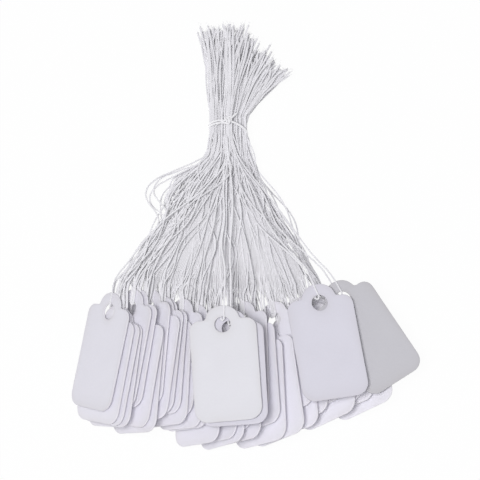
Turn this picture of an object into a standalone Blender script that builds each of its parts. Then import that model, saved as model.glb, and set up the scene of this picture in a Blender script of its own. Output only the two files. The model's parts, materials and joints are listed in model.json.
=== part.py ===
"""A tied bundle of ring price tags, lying on a table.

Each tag is a die-cut white card with a rounded hump and a hole, and hangs on its own doubled
thread. The threads are gathered and tied near their cut ends. X runs to the right across the
bundle, Y from the tags to the cut ends, Z up. The origin is on the table under the tie.
"""

import math
import random

import bmesh
import bpy
import numpy as np
from mathutils import Matrix, Vector

MM = 0.001

# The card of one tag
CARD_WIDTH = 13.0 * MM
CARD_LENGTH = 23.0 * MM
CARD_THICKNESS = 0.3 * MM
HUMP_WIDTH = 6.6 * MM
HUMP_HEIGHT = 2.8 * MM
HUMP_FILLET = 0.7 * MM
TOP_CORNER_RADIUS = 1.9 * MM
BOTTOM_CORNER_RADIUS = 2.6 * MM
HOLE_DIAMETER = 3.1 * MM
HOLE_DROP = 3.8 * MM
CORNER_STEPS = 3
HUMP_STEPS = 8
HOLE_SIDES = 12

# The thread of one tag, and the room that it keeps to the cards
THREAD_DIAMETER = 0.36 * MM
THREAD_CLEARANCE = 0.1 * MM
THREAD_SIDE = 0.3 * MM
MOUTH_CLEARANCE = 0.25 * MM
MOUTH_DEPTH = 0.25 * MM
HUMP_LEAD = 2.0 * MM
EXIT_LEAD = 1.2 * MM
EXIT_REACH = 3.0 * MM
THROAT_SHARE = 0.35
BEND_SHARE = 0.12
SPREAD_SHARES = (0.12, 0.3, 0.6, 0.94)

# The row of leaning tags: the first is the leftmost, and the last ones lie flatter
ROW_HANKS = 9
HANK_TAGS = 4
ROW_LEFT = -30.5 * MM
ROW_LEAN = math.radians(49)
ROW_END_LEAN = math.radians(27)
FLATTER_FROM = 0.62
ROW_FIRST_TURN = math.radians(-16)
ROW_LAST_TURN = math.radians(11)
ROW_END_TURN = math.radians(6)
TURN_SCATTER = math.radians(4)
THREAD_REACH = 43.8 * MM
LEFT_REACH = 1.4 * MM
LEFT_SHARE = 0.5
REACH_LESS = 4.0 * MM
REACH_MORE = 2.2 * MM
REACH_UNEVEN = 1.6
SPACE_SCATTER = 0.6
SPACE_UNEVEN = 6
TABLE_GAP = 0.3 * MM
EDGE_STEP = 1.0 * MM
SEED = 45

# The four tags that lie on the row, lowest first: hole across the bundle, shortfall of the
# thread's reach, turn, tilt to the right
FRONT_TAGS = {
    "centre_under_tag": (0.4 * MM, 0.2 * MM, math.radians(3), math.radians(-4)),
    "centre_top_tag": (-1.0 * MM, 0.8 * MM, math.radians(4), math.radians(-4)),
    "far_right_tag": (22.4 * MM, 0.4 * MM, math.radians(34), math.radians(11)),
    "right_top_tag": (17.8 * MM, 1.5 * MM, math.radians(10), math.radians(6)),
}
FRONT_GAP = 0.2 * MM

# The neck, where the tie squeezes the threads into one block for each hank
STRAND_GAP = 0.12 * MM
HANK_GAP = 0.27 * MM
NECK_MARGIN = 0.45 * MM
CELL = THREAD_DIAMETER + STRAND_GAP

# The brush of cut ends beyond the tie
BRUSH_LENGTH = 19.2 * MM
BRUSH_LEFT_SPREAD = 2.4
BRUSH_RIGHT_SPREAD = 5.6
BRUSH_RISE = 1.5
BRUSH_SHIFT = 1.5 * MM
BRUSH_SIDE_CUT = 0.48
BRUSH_SCATTER = 0.1

# The thread wound round the neck, and its knot
TIE_DIAMETER = 0.5 * MM
TIE_CLEARANCE = 0.3 * MM
TIE_TURNS = 2
TIE_GAP = 0.5 * MM
TIE_STEPS = 24
TIE_SIDES = 8
TIE_PITCH = TIE_DIAMETER + TIE_GAP
KNOT_WIDTH = 1.5 * MM
KNOT_LENGTH = 2.3 * MM
KNOT_HEIGHT = 1.0 * MM
KNOT_CLEARANCE = 0.1 * MM

# The winding spans its turns along the bundle, with its first turn's underside over the origin.
# Each turn touches the table with one facet, and its sections stand half a step either side of it.
TIE_START = -TIE_PITCH / 2
TIE_END = TIE_START + TIE_TURNS * TIE_PITCH
TIE_OFFSET = TIE_DIAMETER / 2 + TIE_CLEARANCE
TIE_APOTHEM = TIE_DIAMETER / 2 * math.cos(math.pi / TIE_SIDES)
NECK_BOTTOM = (TIE_APOTHEM + TIE_OFFSET) * math.cos(math.pi / TIE_STEPS)
NECK_LOW_END = TIE_START - TIE_DIAMETER / 2 - NECK_MARGIN
NECK_HIGH_END = TIE_END + TIE_DIAMETER / 2 + NECK_MARGIN

COLOURS = {
    "white_card": ((0.76, 0.76, 0.80, 1.0), 0.75),
    "white_thread": ((0.70, 0.70, 0.73, 1.0), 0.6),
}


def clear_scene():
    for old in list(bpy.data.objects):
        bpy.data.objects.remove(old, do_unlink=True)


def make_material(name):
    colour, roughness = COLOURS[name]
    material = bpy.data.materials.new(name)
    material.use_nodes = True
    shader = material.node_tree.nodes["Principled BSDF"]
    shader.inputs["Base Color"].default_value = colour
    shader.inputs["Roughness"].default_value = roughness
    shader.inputs["Metallic"].default_value = 0.0
    return material


def make_object(name, mesh, root, matrix=None):
    piece = bpy.data.objects.new(name, mesh)
    bpy.context.collection.objects.link(piece)
    piece.parent = root
    if matrix is not None:
        piece.matrix_local = matrix
    return piece


def make_mesh(name, points, faces, material):
    """A closed mesh with its faces turned outwards."""
    mesh = bpy.data.meshes.new(name)
    mesh.from_pydata([tuple(p) for p in points], [], faces)
    shape = bmesh.new()
    shape.from_mesh(mesh)
    bmesh.ops.recalc_face_normals(shape, faces=shape.faces[:])
    shape.to_mesh(mesh)
    shape.free()
    mesh.materials.append(material)
    return mesh


# The card

def arc(centre, radius, start, end, steps):
    angles = np.radians(np.linspace(start, end, steps + 1))
    return [(centre[0] + radius * math.cos(a), centre[1] + radius * math.sin(a)) for a in angles]


def card_outline():
    """The card's edge, anticlockwise, with the hole's centre at zero and the hump up."""
    half = CARD_WIDTH / 2
    shoulder = HOLE_DROP - HUMP_HEIGHT
    foot = HOLE_DROP - CARD_LENGTH
    low = (half - BOTTOM_CORNER_RADIUS, foot + BOTTOM_CORNER_RADIUS)
    high = (half - TOP_CORNER_RADIUS, shoulder - TOP_CORNER_RADIUS)
    right = arc(low, BOTTOM_CORNER_RADIUS, -90, 0, CORNER_STEPS)
    right += arc(high, TOP_CORNER_RADIUS, 0, 90, CORNER_STEPS)
    right.append((HUMP_WIDTH / 2 + HUMP_FILLET, shoulder))
    # the hump is half an ellipse, and starts a fillet's height above the shoulder
    start = math.asin(min(HUMP_FILLET / HUMP_HEIGHT, 0.5))
    sweep = np.linspace(start, math.pi - start, HUMP_STEPS)
    hump = [(HUMP_WIDTH / 2 * math.cos(a), shoulder + HUMP_HEIGHT * math.sin(a)) for a in sweep]
    left = [(-x, y) for x, y in reversed(right)]
    return right + hump + left


def card_mesh(material):
    """One card with its hole, shared by every tag."""
    edges = [card_outline(), arc((0, 0), HOLE_DIAMETER / 2, 0, 360, HOLE_SIDES)[:-1]]
    sheet = bmesh.new()
    for loop in edges:
        ring = [sheet.verts.new((x, y, 0)) for x, y in loop]
        for a, b in zip(ring, ring[1:] + ring[:1]):
            sheet.edges.new((a, b))
    bmesh.ops.triangle_fill(sheet, edges=sheet.edges[:], use_beauty=True)
    sheet.verts.index_update()
    flat = [v.co.copy() for v in sheet.verts]
    triangles = [tuple(v.index for v in f.verts) for f in sheet.faces]
    rim = [tuple(v.index for v in e.verts) for e in sheet.edges if len(e.link_faces) == 1]
    sheet.free()
    rise = Vector((0, 0, CARD_THICKNESS / 2))
    count = len(flat)
    points = [p - rise for p in flat] + [p + rise for p in flat]
    faces = [tuple(reversed(t)) for t in triangles]
    faces += [tuple(i + count for i in t) for t in triangles]
    faces += [(a, b, b + count, a + count) for a, b in rim]
    return make_mesh("card", points, faces, material)


# Where each tag lies

class Tag:
    """A tag's place: its hole, the way up its slope, the way its thread leaves, and its normal."""

    def __init__(self, name, hole, slope, along, turn):
        self.name = name
        self.hole = hole
        self.slope = slope
        self.along = along
        self.normal = slope.cross(along)
        self.width = math.cos(turn) * slope + math.sin(turn) * along
        self.length = math.cos(turn) * along - math.sin(turn) * slope

    def matrix(self):
        axes = Matrix((self.width, self.length, self.normal)).transposed()
        return Matrix.Translation(self.hole) @ axes.to_4x4()

    def edge_points(self):
        """Points along the card's edge, no further apart than the edge step."""
        corners = [self.hole + self.width * x + self.length * y for x, y in card_outline()]
        points = []
        for a, b in zip(corners, corners[1:] + corners[:1]):
            parts = max(1, math.ceil((b - a).length / EDGE_STEP))
            points += [a.lerp(b, i / parts) for i in range(parts)]
        return points


def row_fall(share):
    """How far the row has fallen flat: nothing at first, then more and more up to 1."""
    return max(0.0, share - FLATTER_FROM) / (1 - FLATTER_FROM)


def row_tags():
    """Leaning tags whose planes never meet: each stands a card and a thread from the last."""
    draw = random.Random(SEED)
    count = ROW_HANKS * HANK_TAGS
    layer = CARD_THICKNESS + THREAD_DIAMETER + 2 * THREAD_CLEARANCE
    along = Vector((0, 1, 0))
    foot = ROW_LEFT
    tags = []
    for i in range(count):
        share = i / (count - 1)
        fall = row_fall(share)
        lean = ROW_LEAN + (ROW_END_LEAN - ROW_LEAN) * fall
        turn = ROW_FIRST_TURN + (ROW_LAST_TURN - ROW_FIRST_TURN) * share + ROW_END_TURN * fall
        turn += draw.uniform(-TURN_SCATTER, TURN_SCATTER)
        # the threads of the left tags are the longest
        reach = THREAD_REACH + LEFT_REACH * max(0.0, 1 - share / LEFT_SHARE)
        reach += REACH_MORE - (REACH_LESS + REACH_MORE) * draw.random()**REACH_UNEVEN
        slope = Vector((math.cos(lean), 0, math.sin(lean)))
        # the card's lowest corner touches the line where its plane meets the table
        rise = -min(x * math.cos(turn) - y * math.sin(turn) for x, y in card_outline())
        across = foot + rise * slope.x
        hole = Vector((across, -math.sqrt(reach**2 - across**2), TABLE_GAP + rise * slope.z))
        tags.append(Tag(f"row_tag_{i + 1:02d}", hole, slope, along, turn))
        foot += layer / math.sin(lean) * (1 + SPACE_SCATTER * draw.random()**SPACE_UNEVEN)
    return tags


def front_tags(row):
    """Tags laid on the row, each lowered until a thread fits between it and what is under it."""
    gap = CARD_THICKNESS / 2 + THREAD_DIAMETER + 2 * THREAD_CLEARANCE + FRONT_GAP
    below = [p for tag in row for p in tag.edge_points()]
    tags = []
    for name, (across, shortfall, turn, tilt) in FRONT_TAGS.items():
        reach = THREAD_REACH - shortfall
        hole = Vector((across, -math.sqrt(reach**2 - across**2), 0))
        spin = Matrix.Rotation(tilt, 3, "Y") @ Matrix.Rotation(turn, 3, "Z")
        tag = Tag(name, hole, spin.col[0], spin.col[1], turn=0)
        normal = tag.normal
        edge = tag.edge_points()
        left = min(p.x for p in edge)
        right = max(p.x for p in edge)
        under = [p for p in below if left <= p.x <= right]
        tag.hole.z = max(p.z + normal.xy.dot((p - hole).xy) / normal.z for p in under) + gap
        below += tag.edge_points()
        tags.append(tag)
    return tags


# Threads

class Shell:
    """Points and faces of a mesh in the making."""

    def __init__(self):
        self.points = []
        self.faces = []

    def add(self, points):
        first = len(self.points)
        self.points += [Vector(p) for p in points]
        return list(range(first, len(self.points)))

    def join(self, ring, other):
        count = len(ring)
        for k in range(count):
            n = (k + 1) % count
            self.faces.append((ring[k], ring[n], other[n], other[k]))


def tube_ring(centre, outward, tangent, radius, sides, phase=0.0):
    """Corners of a tube's section, anticlockwise round its tangent."""
    side = tangent.cross(outward)
    angles = [phase + 2 * math.pi * k / sides for k in range(sides)]
    return [centre + radius * (math.cos(a) * outward + math.sin(a) * side) for a in angles]


def diagonal(quarter):
    angle = math.radians(45 + 90 * quarter)
    return Vector((math.cos(angle), 0, math.sin(angle)))


class Hank:
    """A group of threads, one cell of the neck's block for each strand that passes the tie."""

    def __init__(self, left, bottom, columns, rows):
        self.left = left
        self.bottom = bottom
        self.columns = columns
        self.rows = rows
        self.shell = Shell()
        self.sockets = {}
        self.build_block()

    def centre(self, column, row, y):
        return Vector((self.left + (column + 0.5) * CELL, y, self.bottom + (row + 0.5) * CELL))

    def build_block(self):
        """The block, with a square socket in both ends of each cell where a strand begins."""
        grids = {}
        for y in (NECK_LOW_END, NECK_HIGH_END):
            grid = {}
            for c in range(self.columns + 1):
                for r in range(self.rows + 1):
                    corner = (self.left + c * CELL, y, self.bottom + r * CELL)
                    grid[c, r] = self.shell.add([corner])[0]
            for c in range(self.columns):
                for r in range(self.rows):
                    middle = self.centre(c, r, y)
                    corners = [middle + diagonal(q) * THREAD_DIAMETER / 2 for q in range(4)]
                    socket = self.shell.add(corners)
                    cell = [grid[c + 1, r + 1], grid[c, r + 1], grid[c, r], grid[c + 1, r]]
                    self.shell.join(cell, socket)
                    self.sockets[c, r, y] = socket
            grids[y] = grid
        rim = [(c, 0) for c in range(self.columns)]
        rim += [(self.columns, r) for r in range(self.rows)]
        rim += [(c, self.rows) for c in range(self.columns, 0, -1)]
        rim += [(0, r) for r in range(self.rows, 0, -1)]
        low, high = grids[NECK_LOW_END], grids[NECK_HIGH_END]
        self.shell.join([low[k] for k in rim], [high[k] for k in rim])

    def add_loop(self, tag, front, back, exit_y, front_side=THREAD_SIDE):
        """A tag's thread from its front cell, through the hole, to its back cell."""
        start = self.centre(*front, NECK_LOW_END)
        end = self.centre(*back, NECK_LOW_END)
        path = [start, *thread_route(tag, start, end, exit_y, front_side), end]
        tangents = [Vector((0, -1, 0))]
        tangents += [(b - a).normalized() for a, b in zip(path, path[2:])]
        tangents.append(Vector((0, 1, 0)))
        outward = [diagonal(0)]
        for before, after in zip(tangents, tangents[1:]):
            outward.append(before.rotation_difference(after) @ outward[-1])
        # the leftover twist is shared out, so that the last ring meets its socket
        quarter = max(range(4), key=lambda q: outward[-1].dot(diagonal(q)))
        final = diagonal(quarter)
        twist = math.atan2(outward[-1].cross(final).dot(tangents[-1]), outward[-1].dot(final))
        rings = [self.sockets[(*front, NECK_LOW_END)]]
        last = len(path) - 1
        for i in range(1, last):
            turned = Matrix.Rotation(twist * i / last, 3, tangents[i]) @ outward[i]
            corners = tube_ring(path[i], turned, tangents[i], THREAD_DIAMETER / 2, 4)
            rings.append(self.shell.add(corners))
        socket = self.sockets[(*back, NECK_LOW_END)]
        rings.append([socket[(quarter - k) % 4] for k in range(4)])
        for ring, other in zip(rings, rings[1:]):
            self.shell.join(ring, other)

    def add_brush(self, draw, neck_half):
        """Straight cut ends. All spread by one rule, so that no two cross."""
        for c in range(self.columns):
            for r in range(self.rows):
                root = self.centre(c, r, NECK_HIGH_END)
                share = root.x / neck_half
                fan = BRUSH_RIGHT_SPREAD if root.x > 0 else BRUSH_LEFT_SPREAD
                tip = Vector((
                    BRUSH_SHIFT + fan * root.x,
                    root.y + BRUSH_LENGTH,
                    NECK_BOTTOM + BRUSH_RISE * (root.z - NECK_BOTTOM),
                ))
                cut = 1 - BRUSH_SIDE_CUT * max(0.0, share) - draw.uniform(0, BRUSH_SCATTER)
                ring = self.sockets[c, r, NECK_HIGH_END]
                middle = root.lerp(tip, cut)
                corners = [middle + diagonal(q) * THREAD_DIAMETER / 2 for q in range(4)]
                end = self.shell.add(corners)
                self.shell.join(ring, end)
                self.shell.faces.append(tuple(end))


def spread(share):
    """How far a strand has spread on its way from the neck, by one rule, so that no two cross.

    It starts slowly in the throat, runs straight, and bends round where the cards begin.
    """
    whole = 1 - THROAT_SHARE / 2 - BEND_SHARE / 2
    if share < THROAT_SHARE:
        done = share**2 / (2 * THROAT_SHARE)
    elif share <= 1 - BEND_SHARE:
        done = share - THROAT_SHARE / 2
    else:
        done = whole - (1 - share)**2 / (2 * BEND_SHARE)
    return done / whole


def thread_route(tag, front_start, back_start, exit_y, front_side):
    """Points of a tag's thread: from the neck to the exit, down the card, through the hole and back."""
    off = CARD_THICKNESS / 2 + THREAD_CLEARANCE + THREAD_DIAMETER / 2
    hole = HOLE_DIAMETER / 2
    mouth_up = hole - THREAD_DIAMETER / 2 - MOUTH_CLEARANCE

    def local(side, up, out):
        return tag.hole + side * tag.slope + up * tag.along + out * tag.normal

    def leg(sign, start, side):
        lead = local(side, hole + HUMP_LEAD, sign * off)
        leave = lead + tag.along * (exit_y - lead.y) / tag.along.y
        points = []
        for share in SPREAD_SHARES:
            spot = start.lerp(leave, spread(share))
            spot.y = start.y + (leave.y - start.y) * share
            points.append(spot)
        mouth = local(side, mouth_up, sign * (off - THREAD_CLEARANCE / 2))
        rim = local(side, hole + THREAD_CLEARANCE, sign * off)
        return [*points, leave, lead, rim, mouth]

    down = leg(1, front_start, front_side)
    up = leg(-1, back_start, -THREAD_SIDE)
    return [*down, local(0, mouth_up - MOUTH_DEPTH, 0), *reversed(up)]


def clear_side(tag, before):
    """Where a thread passes over its card, a strand away from the one behind the card before it."""
    if before is None:
        return THREAD_SIDE
    other = (before.hole - tag.hole).dot(tag.slope) - THREAD_SIDE
    if abs(THREAD_SIDE - other) >= CELL:
        return THREAD_SIDE
    return other + math.copysign(CELL, THREAD_SIDE - other)


def thread_exit(members, tags):
    """How far along the bundle a hank's threads are clear of its cards and of those beside them."""
    left = min(tag.hole.x for tag in members) - EXIT_REACH
    right = max(tag.hole.x for tag in members) + EXIT_REACH
    near = [tag for tag in tags if left <= tag.hole.x <= right]
    return max(p.y for tag in near for p in tag.edge_points()) + EXIT_LEAD


def neck_half_width():
    return (ROW_HANKS * CELL + (ROW_HANKS - 1) * HANK_GAP) / 2


def make_hanks(row, front, root, material):
    """One hank for each group of row tags, side by side, and one on top for the front tags."""
    draw = random.Random(SEED)
    half = neck_half_width()
    hanks = {}
    for h in range(ROW_HANKS):
        hank = Hank(-half + h * (CELL + HANK_GAP), NECK_BOTTOM, 1, 2 * HANK_TAGS)
        members = row[h * HANK_TAGS:(h + 1) * HANK_TAGS]
        exit_y = thread_exit(members, row + front)
        for i, tag in enumerate(members):
            # the strands stack in the order of the cards, so that none has to cross another
            back = HANK_TAGS - 1 - i
            place = h * HANK_TAGS + i
            side = clear_side(tag, row[place - 1] if place else None)
            hank.add_loop(tag, (0, HANK_TAGS + back), (0, back), exit_y, side)
        hanks[f"thread_hank_{h + 1}"] = hank
    count = len(front)
    top = NECK_BOTTOM + 2 * HANK_TAGS * CELL + HANK_GAP
    hank = Hank(-count * CELL / 2, top, count, 2)
    exit_y = thread_exit(front, row + front)
    for i, tag in enumerate(sorted(front, key=lambda t: t.hole.x)):
        hank.add_loop(tag, (i, 1), (i, 0), exit_y)
    hanks["front_thread_hank"] = hank
    for name, hank in hanks.items():
        hank.add_brush(draw, half)
        make_object(name, make_mesh(name, hank.shell.points, hank.shell.faces, material), root)
    return hanks


# The tie

def neck_corners(hanks):
    """Corners of the neck's blocks, seen along the bundle."""
    corners = []
    for hank in hanks.values():
        for c in (0, hank.columns):
            for r in (0, hank.rows):
                corners.append(Vector((hank.left + c * CELL, 0, hank.bottom + r * CELL)))
    return corners


def make_tie(hanks, root, material):
    """One thread wound round the neck, drawn tight over its outermost corners, and its knot."""
    corners = neck_corners(hanks)
    steps = TIE_TURNS * TIE_STEPS
    shell = Shell()
    centres = []
    ring = None
    for i in range(steps + 1):
        angle = math.pi / 2 + 2 * math.pi * (i + 0.5) / TIE_STEPS
        outward = Vector((math.cos(angle), 0, math.sin(angle)))
        corner = max(corners, key=lambda p: p.dot(outward))
        y = TIE_START + TIE_PITCH * (i + 0.5) / TIE_STEPS
        centre = corner + TIE_OFFSET * outward + Vector((0, y, 0))
        tangent = Vector((0, 1, 0)).cross(outward)
        section = tube_ring(centre, outward, tangent, TIE_DIAMETER / 2, TIE_SIDES, math.pi / TIE_SIDES)
        new = shell.add(section)
        if ring is None:
            shell.faces.append(tuple(reversed(new)))
        else:
            shell.join(ring, new)
        ring = new
        centres.append(centre)
    shell.faces.append(tuple(ring))
    make_object("tie_winding", make_mesh("tie_winding", shell.points, shell.faces, material), root)

    path = np.array(centres)
    apart = np.linalg.norm(path[:, None] - path[None], axis=2)
    rows, columns = np.indices(apart.shape)
    gap = apart[np.abs(rows - columns) > TIE_STEPS // 2].min() - TIE_DIAMETER
    print(f"tie_winding: least gap to itself {gap / MM:.2f} mm")

    crest = max(p.z for p in shell.points)
    knot = bpy.data.meshes.new("tie_knot")
    ball = bmesh.new()
    bmesh.ops.create_icosphere(ball, subdivisions=2, radius=0.5)
    bmesh.ops.scale(ball, vec=(KNOT_WIDTH, KNOT_LENGTH, KNOT_HEIGHT), verts=ball.verts[:])
    ball.to_mesh(knot)
    ball.free()
    knot.materials.append(material)
    knot.shade_smooth()
    place = Vector((0, (TIE_START + TIE_END) / 2, crest + KNOT_CLEARANCE + KNOT_HEIGHT / 2))
    make_object("tie_knot", knot, root, Matrix.Translation(place))


def main():
    clear_scene()
    root = bpy.data.objects.new("price_tag_bundle", None)
    bpy.context.collection.objects.link(root)
    card = make_material("white_card")
    thread = make_material("white_thread")
    row = row_tags()
    front = front_tags(row)
    shared = card_mesh(card)
    for tag in row + front:
        make_object(tag.name, shared, root, tag.matrix())
    hanks = make_hanks(row, front, root, thread)
    make_tie(hanks, root, thread)
    return row + front


TAGS = main()
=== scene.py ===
import json
import math

import bpy
import numpy as np
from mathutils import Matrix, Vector


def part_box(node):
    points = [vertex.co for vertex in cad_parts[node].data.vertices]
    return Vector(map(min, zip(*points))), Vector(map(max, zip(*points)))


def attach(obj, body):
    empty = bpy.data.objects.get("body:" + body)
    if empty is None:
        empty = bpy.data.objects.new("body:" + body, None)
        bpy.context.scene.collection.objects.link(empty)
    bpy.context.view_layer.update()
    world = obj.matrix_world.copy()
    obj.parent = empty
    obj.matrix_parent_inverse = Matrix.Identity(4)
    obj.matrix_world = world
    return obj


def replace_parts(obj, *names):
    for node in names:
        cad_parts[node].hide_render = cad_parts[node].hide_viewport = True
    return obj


# A tied bundle of ring price tags: white die-cut cards, each hung on its own doubled thread.
# X runs right across the bundle, Y from the cards to the cut ends, Z up, all in metres.

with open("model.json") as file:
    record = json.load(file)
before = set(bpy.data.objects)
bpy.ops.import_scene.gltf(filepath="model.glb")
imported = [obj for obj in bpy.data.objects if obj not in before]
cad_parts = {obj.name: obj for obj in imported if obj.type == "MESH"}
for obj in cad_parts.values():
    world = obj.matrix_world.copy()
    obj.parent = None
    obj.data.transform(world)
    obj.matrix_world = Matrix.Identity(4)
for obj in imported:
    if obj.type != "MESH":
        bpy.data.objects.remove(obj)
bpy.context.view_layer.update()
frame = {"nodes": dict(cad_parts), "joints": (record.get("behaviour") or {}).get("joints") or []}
print("frame loaded:", len(frame["nodes"]), "nodes")


# Camera, at the photograph's angle: high above the cards, with the cut ends at the top

view = {
    "elevation": 75.0,      # degrees above the table
    "distance": 0.75,
    "across": 0.0946,       # what the picture's width covers at the target
    "target": (0.00236, -0.02340, 0.004),
    "filmWidth": 36.0,      # in mm, as the lens is
    "nearest": 0.01,
}


def newObject(name, data):
    made = bpy.data.objects.new(name, data)
    bpy.context.scene.collection.objects.link(made)
    return made


def placeCamera(v):
    angle = math.radians(v["elevation"])
    target = Vector(v["target"])
    away = Vector((0, -math.cos(angle), math.sin(angle)))
    lens = bpy.data.cameras.new("photoCamera")
    lens.sensor_width = v["filmWidth"]
    lens.lens = v["filmWidth"] * v["distance"] / v["across"]
    lens.clip_start = v["nearest"]
    camera = newObject("photoCamera", lens)
    camera.location = target + away * v["distance"]
    camera.rotation_euler = (-away).to_track_quat("-Z", "Y").to_euler()
    bpy.context.scene.camera = camera
    print("camera:", round(lens.lens), "mm lens,", v["elevation"], "degrees up")


placeCamera(view)


# Shader wires

class Wire:
    # one socket in a material's tree; sums and products of wires add Math nodes

    def __init__(self, tree, socket=None):
        self.tree = tree
        self.socket = socket

    def node(self, kind, settings=None, values=None, out=0):
        # any node: its settings are set first, then the values or links of its sockets
        made = self.tree.nodes.new(kind)
        for key, value in (settings or {}).items():
            setattr(made, key, value)
        for key, value in (values or {}).items():
            if isinstance(value, Wire):
                self.tree.links.new(value.socket, made.inputs[key])
            else:
                made.inputs[key].default_value = value
        return Wire(self.tree, made.outputs[out])

    def math(self, operation, first, second=0.0, clamp=False):
        return self.node("ShaderNodeMath", {"operation": operation, "use_clamp": clamp}, {0: first, 1: second})

    def __add__(self, other):
        return self.math("ADD", self, other)

    def __radd__(self, other):
        return self.math("ADD", other, self)

    def __sub__(self, other):
        return self.math("SUBTRACT", self, other)

    def __rsub__(self, other):
        return self.math("SUBTRACT", other, self)

    def __mul__(self, other):
        return self.math("MULTIPLY", self, other)

    def __rmul__(self, other):
        return self.math("MULTIPLY", other, self)

    def clamped(self):
        return self.math("ADD", self, 0.0, clamp=True)

    def noise(self, place, scale, detail, roughness=0.55):
        return self.node("ShaderNodeTexNoise", None,
                         {"Vector": place, "Scale": scale, "Detail": detail, "Roughness": roughness})

    def blend(self, share, first, second):
        # first colour where share is 0, second where it is 1
        return self.node("ShaderNodeMix", {"data_type": "RGBA"}, {0: share, 6: first, 7: second}, out=2)

    def attribute(self, name):
        return self.node("ShaderNodeAttribute", {"attribute_name": name}, out="Fac")

    def into(self, socket):
        self.tree.links.new(self.socket, socket)


def newFinish(name):
    material = bpy.data.materials.new(name)
    material.use_nodes = True
    shader = material.node_tree.nodes["Principled BSDF"]
    return material, shader.inputs, Wire(material.node_tree)


# Card stock, with copies painted lighter or darker as painted light and painted shade

cardFinish = {
    "white": (0.735, 0.720, 0.805, 1.0),
    # the row's cards, painted whiter than the stock: painted light on strips that lie in each other's shade
    "rowWhitePaintedLight": (0.910, 0.895, 0.970, 1.0),
    # the first card of the row, painted whiter than the stock: painted light
    "leftWhitePaintedLight": (0.850, 0.836, 0.908, 1.0),
    "warmWhite": (0.785, 0.778, 0.828, 1.0),
    # the far right card, painted grey: painted shade of a card turned away from the light
    "greyWhitePaintedShade": (0.620, 0.610, 0.652, 1.0),
    "cloudScale": 170.0,    # patches of about 6 mm
    "speckScale": 2600.0,   # pulp specks of about 0.4 mm
    "fibreScale": 7000.0,   # fibres of the paper face
    "cloudDepth": 0.09,     # how much the cloudy patches darken
    "mottle": (0.7, 0.5, -0.1),     # cloud's share, speck's share and offset
    "wornDepth": 0.16,      # how much the handled edges darken
    "wornTint": (1.0, 0.985, 0.95),
    "wornPatches": (1.6, -0.25),    # cloud's share in the handled edge, and offset
    "roughness": 0.56,
    "cloudRoughness": 0.14,
    "wornRoughness": 0.1,
    "bump": 0.5,
    "fibreShare": 0.6,      # of the bump, the rest being specks
    "fibreHeight": 0.00003,
    "gloss": 0.4,
}


def cardStock(name, white, f):
    material, shader, wire = newFinish(name)
    place = wire.node("ShaderNodeTexCoord", out="Object")
    cloud = wire.noise(place, f["cloudScale"], 4.0)
    speck = wire.noise(place, f["speckScale"], 2.0)
    fibre = wire.noise(place, f["fibreScale"], 3.0, 0.7)
    # handled: the edge mask broken up by the cloud
    handled = (wire.attribute("edge") * (cloud * f["wornPatches"][0] + f["wornPatches"][1])).clamped()
    darker = tuple(c * (1 - f["cloudDepth"]) for c in white[:3]) + (1.0,)
    worn = tuple(c * (1 - f["wornDepth"]) * k for c, k in zip(white[:3], f["wornTint"])) + (1.0,)
    clouds, specks, offset = f["mottle"]
    mottled = wire.blend((cloud * clouds + speck * specks + offset).clamped(), darker, white)
    wire.blend(handled, mottled, worn).into(shader["Base Color"])
    (f["roughness"] + cloud * f["cloudRoughness"] + handled * f["wornRoughness"]).into(shader["Roughness"])
    height = fibre * f["fibreShare"] + speck * (1 - f["fibreShare"])
    bumps = wire.node("ShaderNodeBump", None, {"Strength": f["bump"], "Distance": f["fibreHeight"], "Height": height})
    bumps.into(shader["Normal"])
    shader["Specular IOR Level"].default_value = f["gloss"]
    return material


# Cotton thread

threadFinish = {
    "light": (0.855, 0.847, 0.876, 1.0),
    # the darkest colour, for the strands' own darker tones and for painted shade in the grooves between plies and
    # ridges
    "groove": (0.690, 0.682, 0.706, 1.0),
    "tieLight": (0.900, 0.893, 0.912, 1.0),
    "lintScale": 5200.0,    # single fibres
    "patchScale": 420.0,    # stretches of about 2 mm
    "shades": {"ply": 0.34, "tone": 0.40, "patch": 0.25, "lint": 0.15},     # what lightens a strand, and by how much; ply's share paints shade into the grooves between plies
    "leastShade": 0.09,
    "roughness": 0.62,
    "lintRoughness": 0.2,
    "diffuseRoughness": 1.0,
    "fuzz": 0.6,            # sheen of the fine fibres
    "fuzzRoughness": 0.5,
    "bump": 0.6,
    "plyShare": 0.5,        # of the bump, the rest being lint
    "fibreHeight": 0.00003,
    "gloss": 0.3,
}


def cottonThread(name, light, f):
    material, shader, wire = newFinish(name)
    place = wire.node("ShaderNodeTexCoord", out="Object")
    lint = wire.noise(place, f["lintScale"], 3.0, 0.65)
    # ply is 1 on the crown of a ply or strand and 0 or less in the groove beside it; on a tube it turns along
    # the way: a half, and half the cosine of twice the angle round the strand less the phase
    phase = wire.attribute("phase")
    turning = (wire.attribute("twistCos") * wire.math("COSINE", phase)
               + wire.attribute("twistSin") * wire.math("SINE", phase))
    ply = wire.attribute("ply") + turning * 0.5
    tone, patch = wire.attribute("tone"), wire.noise(place, f["patchScale"], 2.0)
    w = f["shades"]
    share = ply * w["ply"] + tone * w["tone"] + patch * w["patch"] + lint * w["lint"] + f["leastShade"]
    # through ply the blend paints shade into the grooves, through the rest the strands' own tones
    wire.blend(share.clamped(), f["groove"], light).into(shader["Base Color"])
    (f["roughness"] + lint * f["lintRoughness"]).into(shader["Roughness"])
    height = ply * f["plyShare"] + lint * (1 - f["plyShare"])
    bumps = wire.node("ShaderNodeBump", None, {"Strength": f["bump"], "Distance": f["fibreHeight"], "Height": height})
    bumps.into(shader["Normal"])
    shader["Diffuse Roughness"].default_value = f["diffuseRoughness"]
    shader["Sheen Weight"].default_value = f["fuzz"]
    shader["Sheen Roughness"].default_value = f["fuzzRoughness"]
    shader["Specular IOR Level"].default_value = f["gloss"]
    return material


# the row's and the first row card's stocks carry painted light, the far right card's painted shade
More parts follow.
